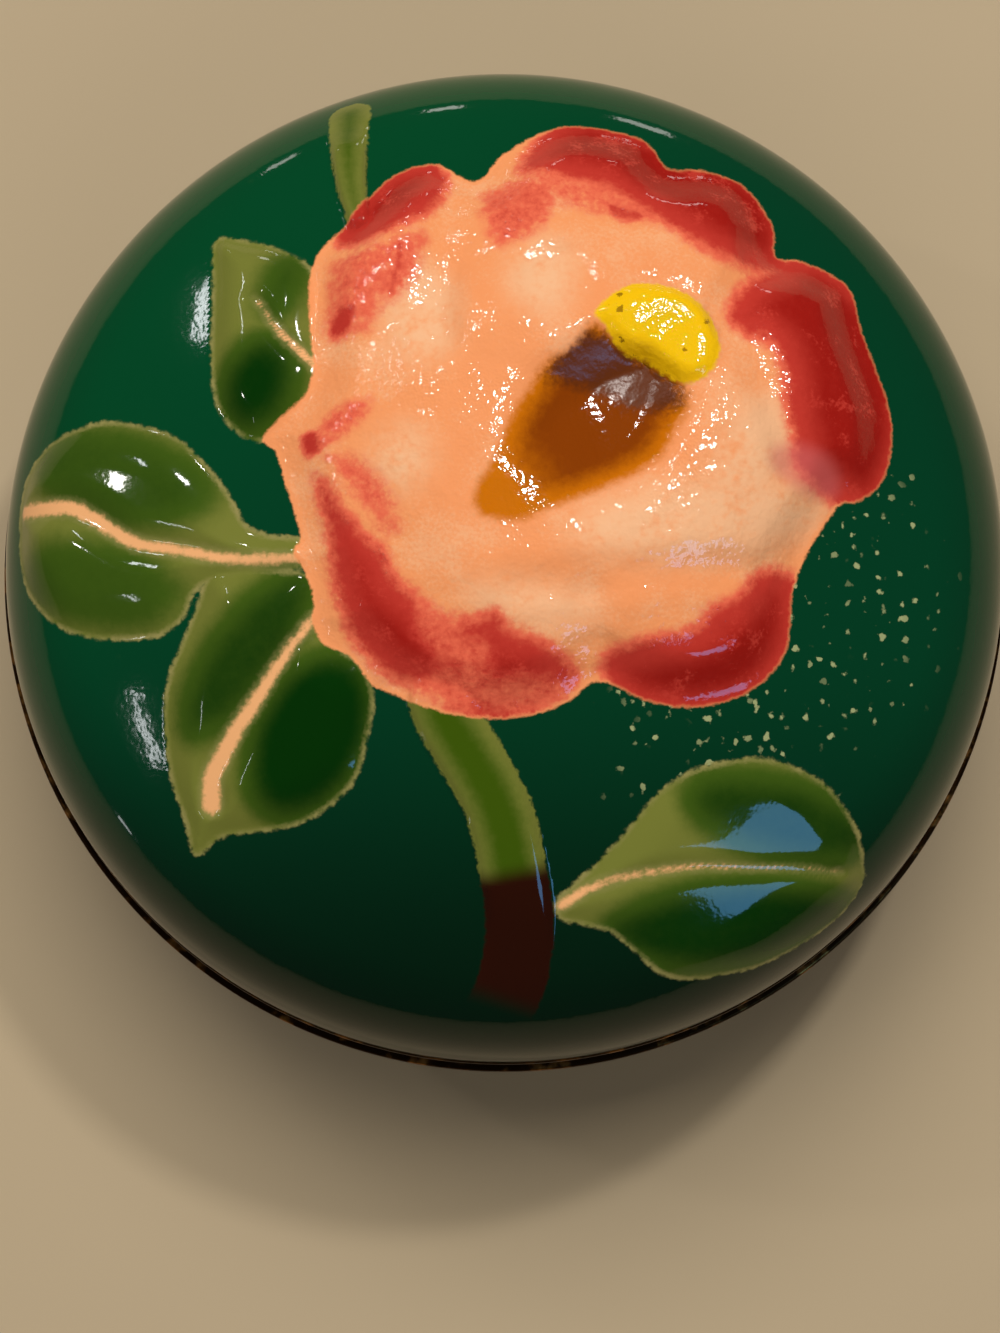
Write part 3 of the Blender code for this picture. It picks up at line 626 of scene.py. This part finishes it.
GROUND_PAINTED_LIGHT_SPANS = (-0.034, -0.006, 0.004, 0.044)
GLAZE_IOR = 1.38
GLAZE_ROUGHNESS, DARK_END_ROUGHNESS = 0.06, 0.2
CLOUD_SIZE, VEIL_SIZE, GRAIN_SIZE, FINE_SIZE = 0.005, 0.0022, 0.0006, 0.00025
SPECK_SIZE = 0.0009
PIT_SIZE, RIPPLE_SIZE, WAVE_SIZE = 0.00045, 0.0016, 0.006
RIPPLE_SHARE, WAVE_SHARE = 1.2, 9
RELIEF_DEPTH, SMOOTH_SHARE = 0.00005, 0.09


def lid_enamel():
    """Glossy enamel: green ground with painted light and shade, then leaves, stems and flower, each
    with grainy edges.
    """
    enamel = Finish("lid_enamel", IOR=GLAZE_IOR)
    field, mix = enamel.field, enamel.mix
    x, y, _ = enamel.axes()
    cloud = enamel.noise(CLOUD_SIZE)
    grain = enamel.noise(GRAIN_SIZE, 3.0) - 0.5
    fine = enamel.noise(FINE_SIZE) - 0.5
    jitter = grain * 0.9 + fine * 0.5
    # Painted shade and light: the ground darkens towards the front and brightens towards the back left
    ground = mix(y.over(GROUND_PAINTED_LIGHT_SPANS[0], GROUND_PAINTED_LIGHT_SPANS[1]), GROUND_PAINTED_SHADE, GROUND_GREEN)
    ground = mix((y - x).over(GROUND_PAINTED_LIGHT_SPANS[2], GROUND_PAINTED_LIGHT_SPANS[3]), ground, GROUND_PALE_AND_PAINTED_LIGHT)
    fleck_gap, fleck_chance = enamel.grains(SPECK_SIZE)
    fleck = (grain * 1.2 + 0.27 - fleck_gap).over(0.0, 0.16)
    fleck = fleck * (field("flecks") * 0.8 - fleck_chance + 0.02).over(0.0, 0.4)
    ground = mix(fleck, ground, FLECK_CREAM)
    leaf = field("leaf") + jitter * 0.5
    shade = field("shade") + cloud * 0.2 - 0.1 + jitter * 0.12
    green = mix(shade.over(0.0, 0.5), LEAF_PALE, LEAF_GREEN)
    green = mix(shade.over(0.4, 1.15), green, LEAF_DARK)
    colour = mix(leaf.over(-0.1, 0.15), ground, green)
    line = (leaf + 0.2).over(0.0, 0.3) * (0.5 - leaf).over(0.0, 0.4)
    colour = mix(line * (cloud + grain).over(0.2, 0.8), colour, OUTLINE)
    rib = field("rib") + jitter * 0.6
    colour = mix((rib + 0.5).over(0.0, 0.6) * 0.5, colour, OUTLINE)
    colour = mix(rib.over(-0.1, 0.35), colour, RIB)
    stem = field("stem") + jitter * 0.55
    stem_green = mix(stem.over(0.0, 1.9), LEAF_PALE, STEM_GREEN)
    stem_colour = mix(field("brown"), stem_green, STEM_DARK)
    colour = mix(stem.over(-0.1, 0.15) * (1 - field("stem_end")), colour, stem_colour)
    veil = enamel.noise(VEIL_SIZE, 4.0)
    red = field("red") + field("red") * (1 - field("red")) * (jitter * 3.0 + veil - 0.5)
    red = red - (veil + fine * 0.5).over(0.5, 0.75) * 0.16
    pale = (cloud + fine * 0.5).over(0.42, 0.8) * 0.6
    petal = mix(pale, PEACH, PEACH_PALE)
    # Pale patches on the petals: partly paler glaze, partly painted sheen
    petal = mix(field("cream_and_sheen") * (cloud + grain).over(-0.1, 0.6), petal, PEACH_PALE)
    petal = mix(red.over(0.02, 0.5), petal, PINK)
    petal = mix(red.over(0.4, 0.9), petal, ROSE)
    deep = field("deep") + grain * 0.4
    petal = mix(deep * red.over(0.8, 1.0), petal, DARK_ROSE)
    petal = mix(field("mauve") * 0.55, petal, MAUVE_GLAZE)
    throat = field("throat") + jitter * 0.8 + 0.25
    # The stain darkens from amber to toffee towards the throat's deep north-east end, with a dark brown
    # patch there: partly the glaze's own colour, partly painted shade of the hollow
    stain = mix((x * 0.8 + y * 0.6 + grain * 0.002).over(0.0012, 0.0065), AMBER, TOFFEE)
    stain = mix(throat.over(0.2, 2.2), AMBER, stain)
    burnt_and_shade = field("burnt_and_shade") + jitter * 1.6
    stain = mix(burnt_and_shade.over(-0.5, 1.1), stain, BURNT_AND_SHADE_BROWN)
    petal = mix(throat.over(-0.4, 0.6), petal, stain)
    stamens = field("stamens") + jitter * 0.5
    speck_gap, speck_chance = enamel.grains(SPECK_SIZE)
    speck = ((0.3 + fine) - speck_gap).over(0.0, 0.15) * (0.3 - speck_chance).over(0.0, 0.05)
    yellow = mix(speck * 0.8, YELLOW, YELLOW_DARK)
    petal = mix(stamens.over(-0.1, 0.25), petal, yellow)
    flower = field("petal") + jitter * 0.4
    petal = mix((flower + red * 0.25).over(0.05, 0.5), PEACH, petal)
    colour = mix(flower.over(-0.12, 0.12), colour, petal)
    enamel.paint(Base_Color=colour, Roughness=burnt_and_shade.over(-0.5, 1.1) * DARK_END_ROUGHNESS + GLAZE_ROUGHNESS)
    grainy = flower.over(0.0, 0.8) * (1 - red.over(0.5, 1.0) * 0.75) * (1 - throat.over(0.0, 1.0) * 0.5)
    bumps = enamel.noise(PIT_SIZE, 1.0) + enamel.noise(RIPPLE_SIZE) * RIPPLE_SHARE
    bumps = bumps + enamel.noise(WAVE_SIZE) * WAVE_SHARE - (1 + RIPPLE_SHARE + WAVE_SHARE) / 2
    enamel.relief(bumps * (grainy + SMOOTH_SHARE), RELIEF_DEPTH)
    return enamel


def lid_shell():
    """Mesh of the lid: the embossed face on a square grid, then hoops down, under and inside."""
    outer = Dome(body_radius, LID_RISE, LID_SHOULDER, LID_SKIRT)
    inner = outer.inside(WALL)
    reach, turn = square_over_disc(LID_CELLS)
    radius, height, tilt = outer.at(reach * outer.reach)
    scale = outer.reach / DRAWN_REACH
    x, y = (reach * DRAWN_REACH * np.cos(turn)).ravel(), (reach * DRAWN_REACH * np.sin(turn)).ravel()
    lift = embossing(x, y).reshape(reach.shape) * scale
    radius = radius + lift * np.sin(tilt)
    height = height + lift * np.cos(tilt)
    face = np.stack([radius * np.cos(turn), radius * np.sin(turn), height], axis=-1).reshape(-1, 3)
    numbers = np.arange(len(face)).reshape(reach.shape)
    quads = np.stack([numbers[:-1, :-1], numbers[:-1, 1:], numbers[1:, 1:], numbers[1:, :-1]], axis=-1)
    border = np.concatenate([numbers[0, :-1], numbers[:-1, -1], numbers[-1, :0:-1], numbers[:0:-1, 0]])
    inner_radius, inner_height, _ = inner.at(np.linspace(inner.reach, 0, INNER_RINGS + 1)[:-1])
    profile = [(outer.radius, lid_edge), (inner.radius, lid_edge),
               *zip(inner_radius.tolist(), inner_height.tolist())]
    turns = turn.ravel()[border]
    inside = hoops(profile, turns)
    table = len(face) + np.arange(len(inside)).reshape(len(profile), len(border))
    rows = np.concatenate([border[None, :], table])
    points = np.concatenate([face, inside, [[0, 0, inner.rise]]])
    faces = quads.reshape(-1, 4).tolist() + hoop_faces(rows, False).tolist()
    faces += fan(rows[-1], len(face) + len(inside))
    mesh = piece_from("lid_shell", points, faces, lid_enamel(), "lid", seam_z)
    # Off the embossed face, a depth is far outside its curve and a strength is nothing
    for name, values in colour_fields(x, y).items():
        whole = np.full(len(points), FAR_OUTSIDE if values.min() < LEAST_STRENGTH else 0.0)
        whole[:len(face)] = values
        carry(mesh, name, whole)


lid_shell()

# The lid's rim is a flat brass ring that closes the edge of the shell, dark brown partly as aged brass
# and partly as painted shade of the seam. It stands a tenth of a millimetre out past the enamel.
RIM_TURNS = 256
LID_RIM_PROUD = 0.0001
RIM_WIDTH = 0.0018
RIM_ROUNDING, CORNER_SHARE = 0.00025, 0.45
BRASS_ROUGHNESS = 0.34
RUBBED_SIZE, SCRATCH_SIZE = 0.0016, 0.0004
FINE_RELIEF = 0.00003
BRASS = glaze(150, 104, 52)
DARK_BRASS_AND_SHADE = glaze(44, 26, 10)

ring_turns = np.arange(RIM_TURNS) * 2 * math.pi / RIM_TURNS


def rounded(corners, radius, steps=4):
    """Closed profile, each corner a quadratic curve that takes a limited share of its sides."""
    corners = np.array(corners, dtype=float)
    line = []
    for before, corner, after in zip(np.roll(corners, 1, 0), corners, np.roll(corners, -1, 0)):
        back, ahead = before - corner, after - corner
        start = corner + back * min(radius / np.hypot(*back), CORNER_SHARE)
        end = corner + ahead * min(radius / np.hypot(*ahead), CORNER_SHARE)
        share = np.linspace(0, 1, steps)[:, None]
        line.append((1 - share) ** 2 * start + 2 * share * (1 - share) * corner + share ** 2 * end)
    return np.concatenate(line)


def dark_brass(name):
    """Dark brown brass, partly aged and partly painted shade of the seam, rubbed back to bright metal
    in small patches.
    """
    brass = Finish(name, Metallic=1.0, Roughness=BRASS_ROUGHNESS)
    worn = brass.noise(RUBBED_SIZE, 4.0).over(0.5, 0.72)
    brass.paint(Base_Color=brass.mix(worn, DARK_BRASS_AND_SHADE, BRASS))
    brass.relief(brass.noise(SCRATCH_SIZE, 3.0), FINE_RELIEF)
    return brass


def ring_piece(name, corners, node, slot):
    """Turned ring of brass from the corners of its section, listed downwards on the outside."""
    profile = rounded(corners, RIM_ROUNDING)
    table = np.arange(len(profile) * RIM_TURNS).reshape(len(profile), RIM_TURNS)
    piece_from(name, hoops(profile, ring_turns), hoop_faces(table, True).tolist(), dark_brass(slot),
               node, seam_z)


rim_inner = body_radius - RIM_WIDTH
ring_piece("lid_rim_ring",
           [(rim_inner, lid_edge), (body_radius + LID_RIM_PROUD, lid_edge),
            (body_radius + LID_RIM_PROUD, HALF_SEAM_GAP), (rim_inner, HALF_SEAM_GAP)],
           "lid_rim", "lid_brass")

# The base is a bowl of the same make with its foot ring raised from the same sheet. Its green
# enamel runs down over the foot, whose ground underside is bare metal.
BASE_DROP = 0.0160
BASE_SHOULDER = 0.0105
BASE_SKIRT = 0.0030
FOOT_RADIUS = 0.0230
FOOT_WALL = 0.0022
FOOT_FILLET = 0.0006
BASE_STEPS, UNDER_STEPS = 14, 4
BASE_ROUGHNESS = 0.08
BASE_CLOUD_SIZE, BASE_SPECK_SIZE, BASE_WAVE_SIZE = 0.006, 0.0014, 0.0014
INSIDE_BLUE = glaze(40, 128, 132)

foot_low = -seam_z
bowl_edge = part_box("base_rim")[0][2] - seam_z


def base_enamel():
    """Plain green outside and turquoise inside, parted by the side that the wall faces."""
    enamel = Finish("base_enamel", Roughness=BASE_ROUGHNESS, IOR=GLAZE_IOR)
    ground = enamel.mix(enamel.noise(BASE_CLOUD_SIZE).over(0.3, 0.7), GROUND_PALE_AND_PAINTED_LIGHT, GROUND_GREEN)
    speck_gap, speck_chance = enamel.grains(BASE_SPECK_SIZE)
    speck = (0.26 - speck_gap).over(0.0, 0.08) * (0.05 - speck_chance).over(0.0, 0.02)
    ground = enamel.mix(speck * 0.6, ground, FLECK_CREAM)
    colour = enamel.mix(enamel.field("inside"), ground, INSIDE_BLUE)
    enamel.paint(Base_Color=enamel.mix(enamel.field("bare"), colour, DARK_BRASS_AND_SHADE))
    enamel.relief(enamel.noise(BASE_WAVE_SIZE), FINE_RELIEF)
    return enamel


def bowl_outside(outer):
    """Profile from the bowl's edge down its side, over the foot ring and in under the bowl."""
    foot_reach = outer.crown * math.asin((FOOT_RADIUS + FOOT_FILLET) / outer.crown)
    side = np.concatenate([np.linspace(outer.reach, outer.crown_reach, BASE_STEPS),
                           np.linspace(outer.crown_reach, foot_reach, UNDER_STEPS)[1:]])
    radius, drop, _ = outer.at(side)
    foot_inside = FOOT_RADIUS - FOOT_WALL
    half = FOOT_FILLET / 2
    return [(outer.radius, bowl_edge), *zip(radius.tolist(), (-drop).tolist()),
            (FOOT_RADIUS, -BASE_DROP - half), (FOOT_RADIUS, foot_low + half),
            (FOOT_RADIUS - half, foot_low), (foot_inside + half, foot_low),
            (foot_inside, foot_low + half), (foot_inside, -BASE_DROP - half),
            (foot_inside - FOOT_FILLET, -BASE_DROP)]


def base_bowl():
    """Mesh of the base: its outer and inner profiles turned round, each closed by a fan."""
    outer = Dome(body_radius, BASE_DROP, BASE_SHOULDER, BASE_SKIRT)
    inner = outer.inside(WALL)
    radius, drop, _ = inner.at(np.linspace(0, inner.reach, 2 * BASE_STEPS + 1)[1:])
    outside_profile = bowl_outside(outer)
    inside_profile = [*zip(radius.tolist(), (-drop).tolist()), (inner.radius, bowl_edge)]
    outside, inside = hoops(outside_profile, ring_turns), hoops(inside_profile, ring_turns)
    outside_rows = np.arange(len(outside)).reshape(-1, RIM_TURNS)
    inside_rows = len(outside) + np.arange(len(inside)).reshape(-1, RIM_TURNS)
    under_pole = len(outside) + len(inside)
    poles = [[0, 0, -BASE_DROP], [0, 0, WALL - BASE_DROP]]
    points = np.concatenate([outside, inside, poles])
    faces = hoop_faces(np.concatenate([inside_rows, outside_rows]), False).tolist()
    faces += fan(outside_rows[-1], under_pole) + fan(inside_rows[0][::-1], under_pole + 1)
    mesh = piece_from("base_bowl", points, faces, base_enamel(), "base", seam_z)
    number = np.arange(len(points))
    carry(mesh, "inside", (number >= len(outside)) & (number != under_pole))
    carry(mesh, "bare", points[:, 2] <= foot_low)


base_bowl()

# The base's rim is a brass ring a little wider than the lid, so that it shows as a dark line under the
# lid's edge;
# its dark brown is partly painted shade of the seam. Its collar stands inside the lid and keeps it in
# place.
BASE_RIM_PROUD = 0.0006
COLLAR_WALL = 0.0009
COLLAR_CLEARANCE = 0.0003

rim_low, rim_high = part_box("base_rim")
collar_out = rim_inner - COLLAR_CLEARANCE
collar_in = collar_out - COLLAR_WALL
rim_out = body_radius + BASE_RIM_PROUD
ring_piece("base_rim_ring",
           [(collar_in, rim_high[2] - seam_z), (collar_out, rim_high[2] - seam_z),
            (collar_out, -HALF_SEAM_GAP), (rim_out, -HALF_SEAM_GAP),
            (rim_out, rim_low[2] - seam_z), (collar_in, rim_low[2] - seam_z)],
           "base_rim", "base_brass")

# The floor is a plain pale sheet. Two wide soft boxes light the box without a reflection, lamps
# and windows above it make the gleams on the flower and the leaves, and low lamps make those on
# the lid's shoulder.
FLOOR_SIDE = 4.0
FLOOR_COLOUR, FLOOR_ROUGHNESS = glaze(178, 161, 133), 0.8
LIGHT_AIM = (0, 0, 0.02)
WARM_LIGHT = (1.0, 0.94, 0.86)
LAMP_LIGHT = (1.0, 0.95, 0.88)
PALE_LIGHT = (1.0, 0.97, 0.92)
COOL_LIGHT = (0.95, 0.98, 1.0)
BLUE_LIGHT = (0.17, 0.50, 1.0)
ROOM_COLOUR, ROOM_STRENGTH = (1.0, 0.96, 0.9, 1.0), 0.07


def studio_floor():
    """A wide flat sheet under the box."""
    half = FLOOR_SIDE / 2
    mesh = bpy.data.meshes.new("floor")
    mesh.from_pydata([(-half, -half, 0), (half, -half, 0), (half, half, 0), (-half, half, 0)], [],
                     [(0, 1, 2, 3)])
    mesh.materials.append(Finish("floor", Base_Color=FLOOR_COLOUR, Roughness=FLOOR_ROUGHNESS).material)
    floor = bpy.data.objects.new("floor", mesh)
    bpy.context.scene.collection.objects.link(floor)


def softbox(name, bearing, elevation, distance, width, height, radiance, colour, mirrored=True,
            roll=0, lights=True):
    """Flat light at a bearing clockwise from +Y, of a power of radiance times pi times area."""
    data = bpy.data.lights.new(name, "AREA")
    data.shape = "RECTANGLE"
    data.size, data.size_y = width, height
    data.energy = radiance * math.pi * width * height
    data.color = colour
    light = bpy.data.objects.new(name, data)
    bpy.context.scene.collection.objects.link(light)
    turn, lean = math.radians(bearing), math.radians(elevation)
    away = Vector((math.sin(turn) * math.cos(lean), math.cos(turn) * math.cos(lean), math.sin(lean)))
    light.location = Vector(LIGHT_AIM) + away * distance
    level = (-away).to_track_quat("-Z", "Y")
    light.rotation_euler = (level @ Quaternion((0, 0, 1), math.radians(roll))).to_euler()
    light.visible_glossy, light.visible_diffuse = mirrored, lights


studio_floor()
softbox("fill", -14, 66, 0.9, 0.6, 0.6, 5.4, WARM_LIGHT, mirrored=False)
softbox("south_fill", 165, 40, 0.9, 0.6, 0.6, 1.3, WARM_LIGHT, mirrored=False)
softbox("lamp", 33, 60, 0.9, 0.07, 0.07, 150.0, LAMP_LIGHT)
softbox("petal_lamp", -22, 50, 0.9, 0.05, 0.05, 90.0, PALE_LIGHT, lights=False)
softbox("west_lamp", -70, 41, 0.8, 0.04, 0.025, 90.0, PALE_LIGHT)
softbox("north_west_window", -44, 38, 0.8, 0.10, 0.015, 30.0, COOL_LIGHT, roll=48)
softbox("south_west_window", -107, 44.5, 0.8, 0.12, 0.012, 22.0, COOL_LIGHT)
softbox("window", 132, 46, 0.7, 0.20, 0.15, 7.0, BLUE_LIGHT, lights=False)
softbox("north_lamp", -7, 6, 0.9, 0.06, 0.06, 7.0, PALE_LIGHT)
softbox("north_east_lamp", 15, 6, 0.9, 0.1, 0.07, 6.0, PALE_LIGHT)
softbox("north_west_lamp", -26, 6, 0.9, 0.05, 0.05, 6.0, PALE_LIGHT)
softbox("south_west_lamp", -120, 1.5, 0.9, 0.05, 0.03, 8.0, COOL_LIGHT)

world = bpy.data.worlds.new("studio")
world.use_nodes = True
world.node_tree.nodes["Background"].inputs["Color"].default_value = ROOM_COLOUR
world.node_tree.nodes["Background"].inputs["Strength"].default_value = ROOM_STRENGTH
bpy.context.scene.world = world
bpy.context.scene.view_settings.view_transform = "Standard"
